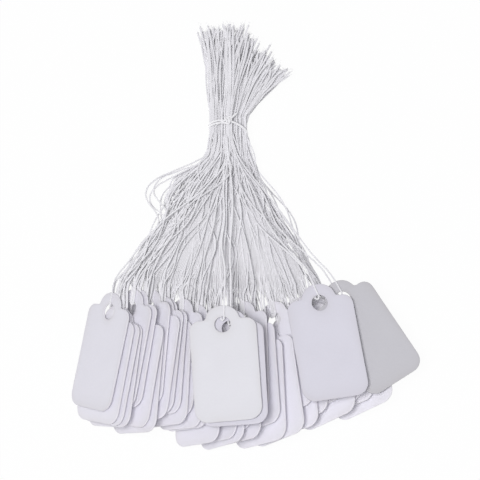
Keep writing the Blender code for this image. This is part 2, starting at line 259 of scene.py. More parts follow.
rowStockPaintedLight = cardStock("cardStockRowPaintedLight", cardFinish["rowWhitePaintedLight"], cardFinish)
topStock = cardStock("cardStock", cardFinish["white"], cardFinish)
leftStockPaintedLight = cardStock("cardStockLeftPaintedLight", cardFinish["leftWhitePaintedLight"], cardFinish)
warmStock = cardStock("cardStockWarm", cardFinish["warmWhite"], cardFinish)
greyStockPaintedShade = cardStock("cardStockGreyPaintedShade", cardFinish["greyWhitePaintedShade"], cardFinish)
tagThread = cottonThread("tagThread", threadFinish["light"], threadFinish)
tieThread = cottonThread("tieThread", threadFinish["tieLight"], threadFinish)
print("finishes made:", len(bpy.data.materials))


# Meshes from grids

def gridFaces(rows, columns, closeRows, closeColumns):
    # the four corners of each cell of a grid whose points are numbered row by row
    i = np.arange(rows if closeRows else rows - 1)
    j = np.arange(columns if closeColumns else columns - 1)
    i, j = [a.ravel() for a in np.meshgrid(i, j, indexing="ij")]
    nextI, nextJ = (i + 1) % rows, (j + 1) % columns
    corners = np.stack([i * columns + j, nextI * columns + j, nextI * columns + nextJ, i * columns + nextJ], 1)
    spots = np.stack([np.stack([i, j], 1), np.stack([i + 1, j], 1),
                      np.stack([i + 1, j + 1], 1), np.stack([i, j + 1], 1)], 1)
    return corners, spots


def addPiece(name, points, corners, spread, material, body, slot, values=None):
    # points (n,3), corners (m,4), spread (m,4,2) the flat map of each corner, values named per point
    mesh = bpy.data.meshes.new(name)
    mesh.vertices.add(len(points))
    mesh.vertices.foreach_set("co", np.ascontiguousarray(points, np.float32).ravel())
    mesh.loops.add(corners.size)
    mesh.loops.foreach_set("vertex_index", corners.astype(np.int32).ravel())
    mesh.polygons.add(len(corners))
    mesh.polygons.foreach_set("loop_start", np.arange(0, corners.size, corners.shape[1], dtype=np.int32))
    mesh.update(calc_edges=True)
    mesh.uv_layers.new(name="UVMap").data.foreach_set("uv", spread.astype(np.float32).ravel())
    for key, column in (values or {}).items():
        mesh.attributes.new(key, "FLOAT", "POINT").data.foreach_set("value", column.astype(np.float32).ravel())
    mesh.validate()
    mesh.shade_smooth()
    mesh.materials.append(material)
    piece = newObject(name, mesh)
    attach(piece, body)
    return piece


# Where each tag hangs: its hole and normal are the swivel's, its length runs from the card's middle to the hole

def unit(v):
    return v / np.linalg.norm(v, axis=-1, keepdims=True)


def tagPlaces(frame):
    places = {}
    for joint in frame["joints"]:
        name = joint["child"]
        hole = np.array(joint["pos_m"], float)
        normal = unit(np.array(joint["axis"], float))
        mesh = frame["nodes"][name].data
        points = np.zeros(len(mesh.vertices) * 3)
        mesh.vertices.foreach_get("co", points)
        middle = np.unique(points.reshape(-1, 3).round(6), axis=0).mean(0)
        normal = normal if normal[2] > 0 else -normal
        length = hole - middle
        length = unit(length - normal * length.dot(normal))
        places[name] = {"hole": hole, "normal": normal, "length": length, "width": np.cross(length, normal)}
    return places


places = tagPlaces(frame)
rowNames = sorted(n for n in places if n.startswith("row_tag"))
frontNames = sorted((n for n in places if n not in rowNames), key=lambda n: places[n]["hole"][0])
print("tags found:", len(rowNames), "in the row,", len(frontNames), "on top")


# Cards

card = {
    "width": 0.0130,
    "length": 0.0230,
    "thickness": 0.0003,
    "humpWidth": 0.0066,
    "humpHeight": 0.0028,
    "humpFillet": 0.0007,
    "topCorner": 0.0019,
    "bottomCorner": 0.0026,
    "holeRadius": 0.00155,
    "holeDrop": 0.0038,     # from the top of the hump to the hole's centre
    "softEdge": 0.00008,    # rounding left by the die
    "nip": 0.3,             # share of that rounding in which it bends first
    "rowCurl": 0.00010,
    "frontCurl": 0.00032,
    "frontBend": ((0.3, 1.0), (-0.5, 0.2), (-0.5, 0.5)),    # least and most bow, cup and twist of the cards on top
    "wornEdge": 0.0011,     # how far the handled band reaches in from the edge
    "rimWear": 1.6,         # how many times sooner it ends at the hole
    "steps": {"foot": 7, "corner": 11, "side": 16, "shoulder": 9, "fillet": 7, "hump": 14},     # along half the edge
    "shares": (1, 0.985, 0.93, 0.84, 0.72, 0.58, 0.44, 0.30, 0.18, 0.08, 0.02, 0),  # from the edge in to the hole
    "seed": 4,
}


def cardEdge(c):
    # half the edge, from the middle of the foot to the top of the hump: straight foot, quarter circle,
    # straight side in even angles about the hole, quarter circle, shoulder, hollow fillet, half ellipse;
    # the other half is its mirror image
    half, low, high = c["width"] / 2, c["bottomCorner"], c["topCorner"]
    foot, shoulder = c["holeDrop"] - c["length"], c["holeDrop"] - c["humpHeight"]
    wide, tall, hollow = c["humpWidth"] / 2, c["humpHeight"], c["humpFillet"]
    steps = c["steps"]
    ends = np.arctan2([foot + low, shoulder - high], half)
    side = np.linspace(ends[0], ends[1], steps["side"])[1:-1]
    corner = np.radians(np.linspace(-90, 0, steps["corner"]))
    top = np.radians(np.linspace(0, 90, steps["shoulder"]))
    t = np.linspace(0, 1, steps["fillet"])
    start = math.asin(hollow / tall)
    hump = np.linspace(start, math.pi / 2, steps["hump"])[1:]
    footX = np.linspace(0, half - low, steps["foot"])[:-1]
    x = np.concatenate([footX, half - low + low * np.cos(corner), np.full(len(side), half),
                        half - high + high * np.cos(top),
                        (1 - t) ** 2 * (wide + hollow) + 2 * t * (1 - t) * wide + t ** 2 * wide * math.cos(start),
                        wide * np.cos(hump)])
    y = np.concatenate([np.full(len(footX), foot), foot + low + low * np.sin(corner), half * np.tan(side),
                        shoulder - high + high * np.sin(top), shoulder + t ** 2 * hollow,
                        shoulder + tall * np.sin(hump)])
    right = np.stack([x, y], 1)
    left = right[-2:0:-1] * [-1, 1]
    return np.concatenate([right, left])


def cardSection(c):
    # the way round the card's section, front face from the edge in to the hole, hole wall, back face out, edge wall:
    # share of the way from hole to edge, offset from the hole's or the edge's wall, height
    e, t, nip = c["softEdge"], c["thickness"] / 2, c["softEdge"] * c["nip"]
    shares = np.array(c["shares"])
    face = np.ones(len(shares))
    wall = np.array([nip, 0.0, 0.0, nip])
    drop = np.array([t - nip, t - e, e - t, nip - t])
    share = np.concatenate([shares, np.zeros(4), shares[::-1], np.ones(4)])
    inset = np.concatenate([face * e, wall, face * e, wall])
    height = np.concatenate([face * t, drop, -face * t, -drop])
    return share, inset, height


def cardSurface(c, curl, across, twist):
    # a point is on the line from the hole's rim to the edge in its direction; the face then bows
    # with the square of the distance below the hole, cups with the square of x, and twists with both
    edge = cardEdge(c)
    reach = np.linalg.norm(edge, axis=1)
    way = edge / reach[:, None]
    share, inset, height = cardSection(c)
    width = (reach - c["holeRadius"])[:, None]
    run = inset + (width - 2 * inset) * share
    flat = way[:, None, :] * (c["holeRadius"] + run)[..., None]
    x, y = flat[..., 0] / (c["width"] / 2), -np.minimum(flat[..., 1], 0) / (c["length"] - c["holeDrop"])
    bow = curl * y ** 2 + across * x ** 2 * y + twist * x * y
    nearEdge = np.exp(-np.minimum(width - run, run * c["rimWear"]) / c["wornEdge"])
    return np.dstack([flat, height + bow]), nearEdge


def makeCard(name, c, draw, material, curl):
    place = places[name]
    bend = draw.uniform(-1, 1, 3)
    if name in frontNames:
        bend = np.array([draw.uniform(*span) for span in c["frontBend"]])
    local, nearEdge = cardSurface(c, *(curl * bend))
    axes = np.stack([place["width"], place["length"], place["normal"]])
    points = place["hole"] + local.reshape(-1, 3) @ axes
    rows, columns = local.shape[:2]
    corners, spots = gridFaces(rows, columns, True, True)
    piece = addPiece(name + "_card", points, corners, spots / [rows, columns], material, name, "white_card",
                     {"edge": nearEdge})
    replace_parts(piece, name)


cardDraw = np.random.default_rng(card["seed"])
# the first row card gets painted light, the far right card painted shade, the centre card its warmer tone
ownStock = {"row_tag_01": leftStockPaintedLight, "centre_top_tag": warmStock, "far_right_tag": greyStockPaintedShade}
for tagName in rowNames:
    makeCard(tagName, card, cardDraw, ownStock.get(tagName, rowStockPaintedLight), card["rowCurl"])
for tagName in frontNames:
    makeCard(tagName, card, cardDraw, ownStock.get(tagName, topStock), card["frontCurl"])
print("cards made:", len(places))


# Threads: each tag hangs on a doubled thread, whose two legs pass the tie and end in the brush,
# and three more strands lie beside it

thread = {
    "diameter": 0.00032,
    "rings": 460,           # along a whole thread
    "sides": 8,
    "others": 3,            # strands that lie beside it
    "otherDiameter": 0.00029,
    "otherRings": 320,
    "otherSides": 6,
    "frayed": 0.35,         # how much a cut end opens
    "frayedLength": 0.0045,
    "twistPitch": 0.0012,   # one full turn of the two plies
    "lowest": 0.0003,       # over the table
    "phases": 6.3,          # where a wave may start
    "seed": 11,
}
neck = {
    "cell": 0.00048,        # room of one strand under the tie
    "hankGap": 0.00027,
    "bottom": 0.000774,
    "lowEnd": -0.0012,
    "highEnd": 0.0022,
    "exit": 0.0033,         # height at which the cords leave the tie
    "aim": 0.003,           # height they make for from their cards
    "halfWidth": 0.0036,
    "halfHeight": 0.0030,
    "middle": 0.0032,
    "roundness": 2.4,
    "pressed": (1.12, 1.02),    # how much the tie widens and heightens the oval
    "hanks": 9,
    "hankTags": 4,
}
neckHalf = (neck["hanks"] * neck["cell"] + (neck["hanks"] - 1) * neck["hankGap"]) / 2
cone = {
    "throat": 0.35,         # share of the way in which the strands begin to part
    "bend": 0.04,           # share in which they turn down onto the cards
    "exitLead": 0.0012,
    "exitReach": 0.003,
    "cardOffset": 0.00043,  # strand's centre above the middle of its card
    "strandSide": 0.0003,
    "strandSides": (0.0, 0.00036, -0.00036, 0.00066),   # the strands of a tag, side by side in its hole
    "beside": (0.0, 0.4, 0.0, -0.4),    # and under the tie, in cells
    "swap": 0.00072,        # how far the other strands cross over to other hanks
    "fan": (0.0006, 0.0013, 0.0013, 0.0016),    # how far they part again above the card
    "fanHeight": 0.0005,
    "fanSpan": (0.25, 0.86, 1.3),   # where that starts, is widest and ends
    "fanLeft": 0.7,         # share of it left at the card
    "humpLead": 0.002,
    "mouthUp": 0.00112,
    "mouthDepth": 0.0003,
    "mouthIn": 0.00005,     # how far a strand dips on its way into the hole
    "rimOut": 0.0001,
    "turnStep": 0.00002,    # between the turning points of a tag's strands
    "steps": 20,            # points of a leg between the tie and its card
    "sway": (0.0007, 0.0011, 0.0013, 0.0015),   # sideways wandering of the strands
    "lift": 0.0005,
    "waves": (1.3, 2.4, 4.1),   # half waves of the wandering along a leg
    "waveScatter": 0.6,
    "swayFade": 0.8,        # power by which it fades towards both ends
    "bulge": 0.0062,        # most that the left strands sag outwards
    "bulgePower": 1.7,
    "bulgeHanks": 3,
    "bulgeSpan": ((0.10, 0.18), (0.28, 0.40), (0.55, 0.75)),    # where a sag starts, is widest and ends
    "sagging": 0.0016,      # beyond this a strand lies apart from the others
    "droop": 0.7,           # how far a sagging strand sinks to the table
    "droopFull": 0.005,     # the sag from which all of that holds
    "hang": 0.0032,         # how far the threads of the top cards sink onto the others
    "hangSpan": (0.15, 0.75, 1.1),
    "open": ("row_tag_01",),    # cards of the row that lie open
    "step": 3,              # cards between those that take the open cards' other strands
    "topShift": 2,
}
brush = {
    "length": 0.0181,
    "leftSpread": 1.7,
    "rightSpread": 2.8,
    "rightCurve": 620.0,    # the right strands spread with the square as well
    "rise": 1.5,
    "shift": 0.0012,
    "tipScatter": 0.0009,
    "sideCut": 0.46,
    "scatter": 0.12,
    "bow": 1.35,            # power by which the strands bend outwards on their way
    "rightBow": 0.98,
    "steps": (0.12, 0.25, 0.4, 0.55, 0.7, 0.85, 1.0),
    "sway": 0.0010,
    "swayWaves": (3.2, 2.6),    # sideways and upwards
    "swayUp": 0.5,
    "curl": 0.0014,
    "curlSpan": (-0.6, 1.0),
}
# loose strands, by tag, strand and leg: how far each sags sideways, and the shares of the way
# at which that starts, is widest and ends
slack = {
    ("row_tag_01", 0, 0): (-0.0087, 0.13, 0.32, 0.66),
    ("row_tag_01", 1, 0): (-0.0079, 0.14, 0.35, 0.68),
    ("row_tag_01", 2, 1): (-0.0064, 0.12, 0.31, 0.62),
    ("row_tag_02", 0, 0): (-0.0082, 0.15, 0.30, 0.60),
    ("row_tag_02", 2, 1): (-0.0070, 0.16, 0.37, 0.70),
    ("row_tag_03", 1, 0): (-0.0058, 0.14, 0.34, 0.64),
    ("row_tag_15", 0, 1): (0.0014, 0.10, 0.60, 1.05),
    ("row_tag_17", 0, 1): (-0.0014, 0.10, 0.60, 1.05),
    ("row_tag_35", 0, 1): (-0.0014, 0.10, 0.60, 1.05),
    ("right_top_tag", 0, 1): (-0.0018, 0.10, 0.60, 1.05),
    ("row_tag_36", 0, 0): (0.0018, 0.10, 0.52, 0.98),
    ("row_tag_35", 2, 0): (0.0022, 0.10, 0.46, 0.95),
    ("far_right_tag", 1, 0): (0.0020, 0.12, 0.50, 0.96),
    ("right_top_tag", 2, 0): (0.0026, 0.10, 0.44, 0.92),
}


def spreadShare(share, c):
    # slow start in the throat, straight run, and an eased end, scaled to reach 1
    a, b = c["throat"], c["bend"]
    whole = 1 - a / 2 - b / 2
    late = whole - (1 - share) ** 2 / (2 * b)
    return np.where(share < a, share ** 2 / (2 * a), np.where(share <= 1 - b, share - a / 2, late)) / whole


def sag(share, start, widest, end):
    # a smooth rise and a smooth fall, each a quarter wave squared
    rise = np.sin(np.clip((share - start) / (widest - start), 0, 1) * math.pi / 2) ** 2
    return rise * np.cos(np.clip((share - widest) / (end - widest), 0, 1) * math.pi / 2) ** 2


def roundedNeck(x, z, n):
    # the square block of strands pressed into an oval by the tie: each way shrinks with the square of the other
    wide, tall = n["pressed"]
    u, w = x / n["halfWidth"], (z - n["middle"]) / n["halfHeight"]
    return (x * np.sqrt(1 - w ** 2 / n["roundness"]) * wide,
            n["middle"] + (z - n["middle"]) * np.sqrt(1 - u ** 2 / n["roundness"]) * tall)


def threadSides(name, before, c):
    # a strand keeps a cell's room from the one behind the card before it
    side = c["strandSide"]
    if before is None:
        return side
    slope = np.cross([0, 1, 0], places[name]["normal"])
    other = (places[before]["hole"] - places[name]["hole"]).dot(slope) - side
    if abs(side - other) >= neck["cell"]:
        return side
    return other + math.copysign(neck["cell"], side - other)


def exitHeight(members, c):
    # how far along the bundle the hank is clear of its own cards and those beside them
    holes = [places[n]["hole"][0] for n in members]
    left, right = min(holes) - c["exitReach"], max(holes) + c["exitReach"]
    near = [n for n in places if left <= places[n]["hole"][0] <= right]
    return max(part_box(n)[1][1] for n in near) + c["exitLead"]


def coneLeg(start, leg, c):
    # from the tie, spread by one rule, swayed by slow sines and fanned out above the card,
    # then gathered flat over the card and into the hole
    place, along, sign = leg["place"], leg["along"], leg["sign"]
    slope = np.cross(along, place["normal"])
    hole = card["holeRadius"]

    def local(up, out):
        return place["hole"] + leg["side"] * slope + up * along + sign * out * place["normal"]

    lead = local(hole + c["humpLead"], c["cardOffset"])
    leave = lead + along * (leg["exitY"] - lead[1]) / along[1]
    share = np.linspace(0, 1, c["steps"] + 2)[1:-1]
    points = start + (leave - start) * spreadShare(share, c)[:, None]
    points[:, 1] = start[1] + (leave[1] - start[1]) * share
    window = np.sin(math.pi * share) ** c["swayFade"]
    phases, sideways, upwards = leg["wander"]
    waves = np.stack([np.sin(math.pi * share * k + p) for k, p in zip(c["waves"], phases)])
    points[:, 0] += window * (sideways @ waves) * leg["sway"]
    points[:, 2] += window * (upwards @ waves) * c["lift"]
    fanSide, fanUp = leg["fan"]
    points += sag(share, *c["fanSpan"])[:, None] * (slope * fanSide + place["normal"] * fanUp)
    leave = leave + c["fanLeft"] * (slope * fanSide + place["normal"] * max(fanUp, 0))
    if leg["loose"]:
        reach, *span = leg["loose"]
        bulge = sag(share, *span)
        points[:, 0] += reach * bulge
        points[:, 2] *= 1 - c["droop"] * bulge * min(1.0, abs(reach) / c["droopFull"])
    points[:, 2] -= leg["hang"] * sag(share, *c["hangSpan"])
    points[:, 2] = np.maximum(points[:, 2], thread["lowest"])
    half = local(hole + c["humpLead"] / 2, c["cardOffset"])
    rim = local(hole + c["rimOut"], c["cardOffset"])
    mouth = local(c["mouthUp"], c["cardOffset"] - c["mouthIn"])
    return np.concatenate([points, [leave, lead, half, rim, mouth]])


def brushLeg(root, neckX, b, draw):
    # straight spread with a slow sway that grows towards the tip, and a sideways curl at the end
    right = neckX > 0
    fan = b["rightSpread"] * neckX + b["rightCurve"] * neckX ** 2 if right else b["leftSpread"] * neckX
    fan += b["shift"] + draw.normal(0, 1) * b["tipScatter"]
    tip = np.array([fan, root[1] + b["length"], neck["bottom"] + b["rise"] * (root[2] - neck["bottom"])])
    cut = 1 - b["sideCut"] * max(0.0, neckX / neckHalf) - draw.uniform(0, b["scatter"])
    t = np.array(b["steps"])
    points = root + (tip - root) * (t * cut)[:, None]
    points[:, 0] = root[0] + (tip[0] - root[0]) * cut * t ** (b["rightBow"] if right else b["bow"])
    phase = draw.uniform(0, thread["phases"], 2)
    sideways, upwards = [b["sway"] * t * np.sin(k * t + p) for k, p in zip(b["swayWaves"], phase)]
    points[:, 0] += sideways + b["curl"] * draw.uniform(*b["curlSpan"]) * t ** 3
    points[:, 2] += b["swayUp"] * upwards
    points[:, 2] = np.maximum(points[:, 2], thread["lowest"])
    return points


def smoothPath(points, rings):
    # cubic pieces through the points with even slopes by chord length, then rings at even steps along it
    chord = np.concatenate([[0], np.cumsum(np.linalg.norm(np.diff(points, axis=0), axis=1))])
    slopes = np.gradient(points, chord, axis=0)
    finer = 4
    at = np.linspace(0, chord[-1], rings * finer)
    k = np.clip(np.searchsorted(chord, at, "right") - 1, 0, len(chord) - 2)
    gap = (chord[k + 1] - chord[k])[:, None]
    s = (at[:, None] - chord[k][:, None]) / gap
    fine = ((2 * s ** 3 - 3 * s ** 2 + 1) * points[k] + (s ** 3 - 2 * s ** 2 + s) * gap * slopes[k]
            + (3 * s ** 2 - 2 * s ** 3) * points[k + 1] + (s ** 3 - s ** 2) * gap * slopes[k + 1])
    run = np.concatenate([[0], np.cumsum(np.linalg.norm(np.diff(fine, axis=0), axis=1))])
    even = np.linspace(0, run[-1], rings)
    return np.stack([np.interp(even, run, fine[:, i]) for i in range(3)], 1), run[-1]


def neckSpots(h, i, members):
    # where the front and the back leg of a tag pass under the tie: x and the two heights
    cell, tags = neck["cell"], neck["hankTags"]
    if h == neck["hanks"]:
        x = (i + 0.5 - len(members) / 2) * cell
        base, rows = neck["bottom"] + 2 * tags * cell + neck["hankGap"], (1, 0)
    else:
        x = -neckHalf + h * (cell + neck["hankGap"]) + cell / 2
        base, rows = neck["bottom"], (2 * tags - 1 - i, tags - 1 - i)
    return x, [base + (row + 0.5) * cell for row in rows]


def threadPaths(which, c):
    # every tag's path from one cut end through the tie and the hole to the other cut end
    draw = np.random.default_rng(thread["seed"] + which)
    groups = [rowNames[i:i + neck["hankTags"]] for i in range(0, len(rowNames), neck["hankTags"])] + [frontNames]
    paths = {}
    for h, members in enumerate(groups):
        onTop = h == neck["hanks"]
        hankExit = exitHeight(members, c)
        for i, name in enumerate(members):
            place, exitY = places[name], hankExit
            if which and (onTop or name in c["open"]):
                # a card that lies open shows one thread, so its other strands go to cards lower in the pile
                lower = rowNames[c["step"] * (thread["others"] * i * onTop + which) - c["topShift"] * onTop]
                place, exitY = places[lower], exitHeight([lower], c)
            # a thread leaves its card in the card's plane, towards the tie
            along = np.array([0.0, neck["lowEnd"], neck["aim"]]) - place["hole"]
            along = unit(along - place["normal"] * along.dot(place["normal"]))
            x, heights = neckSpots(h, i, members)
            frontSide = c["strandSide"] if onTop else threadSides(name, members[i - 1] if i else None, c)
            legs, sagging = [], []
            for k, (sign, side, spotZ) in enumerate(zip((1, -1), (frontSide, -c["strandSide"]), heights)):
                spotX = x
                if which:
                    spotX = x + neck["cell"] * c["beside"][which] + draw.normal(0, c["swap"])
                    spotX = np.clip(spotX, -neckHalf, neckHalf)
                    spotZ += draw.uniform(-0.5, 0.5) * neck["cell"]
                    side += sign * c["strandSides"][which]
                neckX, neckZ = roundedNeck(spotX, spotZ, neck)
                low = np.array([neckX, neck["lowEnd"], neckZ])
                high = np.array([neckX, neck["highEnd"], neckZ])
                wander = (draw.uniform(0, thread["phases"], 3), *draw.normal(0, c["waveScatter"], (2, 3)))
                fan = (draw.uniform(-1, 1) * c["fan"][which], draw.uniform(-1, 1) * c["fanHeight"])
                loose = slack.get((name, which, k))
                if loose is None and h < c["bulgeHanks"]:
                    size = c["bulge"] * draw.uniform(0, 1) ** c["bulgePower"] * (1 - h / c["bulgeHanks"])
                    loose = (-size, *[draw.uniform(*span) for span in c["bulgeSpan"]])
                sagging.append(onTop or loose is not None and loose[0] < -c["sagging"])
                leg = {"place": place, "along": along, "sign": sign, "side": side, "exitY": exitY,
                       "sway": c["sway"][which], "wander": wander, "fan": fan, "loose": loose,
                       "hang": c["hang"] if onTop and not which else 0.0}
                down = coneLeg(low, leg, c)
                ends = brushLeg(high, spotX, brush, draw)
                legs.append(np.concatenate([ends[::-1], [high, (low + high) / 2, low], down]))
            slope = np.cross(along, place["normal"])
            turn = place["hole"] + (c["mouthUp"] - c["mouthDepth"]) * along + which * c["turnStep"] * slope
            paths[name] = (np.concatenate([legs[0], [turn], legs[1][::-1]]), slope, sagging)
    return paths, groups


def tubePoints(path, aside, radius, sides, pitch, length, depth=0.0, frayed=0.0, frayedLength=1.0):
    # a round section about each point of the path, pinched into two plies that turn along the way,
    # and opened towards both ends where the cut thread frays; with it, what the finish draws the plies from
    tangent = unit(np.gradient(path, axis=0))
    out = unit(aside - tangent * (tangent @ aside)[:, None])
    other = np.cross(out, tangent)
    run = np.linspace(0, length, len(path))[:, None]
    angle = np.linspace(0, 2 * math.pi, sides, endpoint=False)[None, :]
    phase = 4 * math.pi * run / pitch
    crown = 0.5 + 0.5 * np.cos(2 * angle - phase)
    size = radius * (1 - depth * (1 - crown))
    size = size * (1 + frayed * np.exp(-np.minimum(run, length - run) / frayedLength))
    points = (path[:, None, :] + (size * np.cos(angle))[..., None] * out[:, None, :]
              + (size * np.sin(angle))[..., None] * other[:, None, :])
    even = np.ones((len(path), sides))
    twist = {"ply": even / 2, "twistCos": even * np.cos(2 * angle), "twistSin": even * np.sin(2 * angle),
             "phase": even * phase}
    return {"points": points.reshape(-1, 3), **{key: column.ravel() for key, column in twist.items()}}


def tubeFaces(rings, sides, first, strip, strips):
    # the tube's wall and its two end caps as fans of four-cornered faces, in one strip of the flat map
    corners, spots = gridFaces(rings, sides, False, True)
    spread = spots[:, :, ::-1] / [sides, rings - 1]
    k = np.arange(sides // 2 - 1)
    fan = np.stack([0 * k, 2 * k + 1, 2 * k + 2, 2 * k + 3], 1) % sides
    caps = np.concatenate([fan, fan[:, ::-1] + (rings - 1) * sides])
    capSpread = np.zeros((len(caps), 4, 2)) + [[0.0, 0.0], [0.5, 0.0], [0.5, 0.002], [0.0, 0.002]]
    spread = np.concatenate([spread, capSpread])
    used = 0.96             # of a strip, so that two never touch
    spread[..., 0] = (strip + spread[..., 0] * used) / strips
    return {"corners": np.concatenate([corners, caps]) + first, "spread": spread}


def addThread(name, tables, material):
    # one piece of the tied threads from its strands' tables of points, faces and values per point
    whole = {key: np.concatenate([table[key] for table in tables]) for key in tables[0]}
    shape = [whole.pop(key) for key in ("points", "corners", "spread")]
    return addPiece(name, *shape, material, "tied_threads", "white_thread", whole)


def strandTube(control, aside, t, diameter, rings, sides):
    path, length = smoothPath(control, rings)
    return path, length, tubePoints(path, aside, diameter / 2, sides, t["twistPitch"], length,
                                    frayed=t["frayed"], frayedLength=t["frayedLength"])


def bothLegs(path, sagging):
    # each from its cut end to the hole, and whether it sags away from the others
    half = len(path) // 2
    return list(zip([path[:half], path[half:][::-1]], sagging))


def makeThreads(t):
    others = range(1, t["others"] + 1)
    strands = [threadPaths(which, cone) for which in (0, *others)]
    groups = strands[0][1]
    draw = np.random.default_rng(t["seed"])
    lengths, legs = [], []
    for h, members in enumerate(groups):
        hankName = "front_thread_hank" if h == neck["hanks"] else f"thread_hank_{h + 1}"
        extra = []
        for i, name in enumerate(members):
            line, aside, sagging = strands[0][0][name]
            path, length, table = strandTube(line, aside, t, t["diameter"], t["rings"], t["sides"])
            table.update(tubeFaces(t["rings"], t["sides"], 0, 0, 1))
            table["tone"] = np.full(len(table["points"]), draw.uniform(0, 1))
            piece = addThread(name + "_thread", [table], tagThread)
            if i == 0:
                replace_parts(piece, hankName)
            lengths.append(length)
            legs += bothLegs(path, sagging)
            for which in others:
                line, aside, sagging = strands[which][0][name]
                path, _, table = strandTube(line, aside, t, t["otherDiameter"], t["otherRings"], t["otherSides"])
                legs += bothLegs(path, sagging)
                strip, count = len(extra), len(table["points"])
                table.update(tubeFaces(t["otherRings"], t["otherSides"], strip * count, strip,
                                       t["others"] * len(members)))
                table["tone"] = np.full(count, draw.uniform(0, 1))
                extra.append(table)
        addThread(hankName + "_other_strands", extra, tagThread)
    print("threads made:", len(lengths), "of", round(min(lengths), 3), "to", round(max(lengths), 3), "m")
    return legs


threadLegs = makeThreads(thread)


# The strands that lie packed inside the bundle, as one ridged body between the others

core = {
    "top": 0.0174,          # how far it reaches up into the brush
    "foot": -0.0385,        # and down towards the cards
    "levels": 64,
    "places": 29,           # across each level
    "window": 0.20,         # how wide a stretch of strands gives the height at one place
    "sides": (4.0, 93.0),   # percentiles of the strands between which it lies
    "thickness": 0.95,      # of the strands' spread in height
    "leastThickness": 0.00002,
    "taper": 8,             # how quickly it thickens from its ends
    "ridges": 116,          # strands across its upper face
    "ridgePoints": 4,
    "rows": 96,
    "ridgeHeight": 0.45,    # of a ridge's width
    "uneven": (0.4, 1.5),   # least and most of that
    "mostRidge": 0.00020,
    "groove": -2.0,         # painted shade between two ridges, whose crests have 1
    "ragged": (0.12, 0.08), # how unevenly its strands end, at the top and at the foot
    "notch": 0.05,          # how much sooner a groove ends than its ridge
    "crowded": 0.35,        # how far the ridges crowd towards both sides
    "wander": 0.035,
    "wanderWaves": (9, 5),  # along and across
    "lowest": 0.0002,
    "seed": 23,
}


def coreLevels(c, legs):
    # at each level along the bundle its two sides, and at even places between them the mean and the spread
    # of the strands' heights, each strand weighed by a bell curve of its distance
    y = np.linspace(c["top"], c["foot"], c["levels"])
    x = np.stack([np.interp(-y, -leg[:, 1], leg[:, 0], np.nan, np.nan) for leg in legs], 1)
    z = np.stack([np.interp(-y, -leg[:, 1], leg[:, 2], np.nan, np.nan) for leg in legs], 1)
    left, right = np.nanpercentile(x, c["sides"], axis=1)
    u = (2 * x - (left + right)[:, None]) / (right - left)[:, None]
    away = (np.linspace(-1, 1, c["places"])[:, None] - u[:, None, :]) / c["window"]
    weight = np.nan_to_num(np.exp(-away ** 2 / 2)) + 1e-9
    height = np.nan_to_num(z)[:, None, :]
    total = weight.sum(2)
    mean = (weight * height).sum(2) / total
    spread = np.sqrt((weight * (height - mean[..., None]) ** 2).sum(2) / total)
    columns = np.concatenate([left[:, None], right[:, None], mean, spread], 1)
    soft = np.array([1, 2, 3, 2, 1]) / 9
    padded = np.pad(columns, ((2, 2), (0, 0)), mode="edge")
    columns = sum(w * padded[k:k + len(y)] for k, w in enumerate(soft))
    return y, columns[:, 0], columns[:, 1], columns[:, 2:2 + c["places"]], columns[:, 2 + c["places"]:]


def between(table, row, column):
    # the value of a table between its entries, straight in both directions
    i = np.clip(row.astype(int), 0, table.shape[0] - 2)
    j = np.clip(column.astype(int), 0, table.shape[1] - 2)
    a, b = row - i, column - j
    return ((1 - a) * ((1 - b) * table[i, j] + b * table[i, j + 1])
            + a * ((1 - b) * table[i + 1, j] + b * table[i + 1, j + 1]))


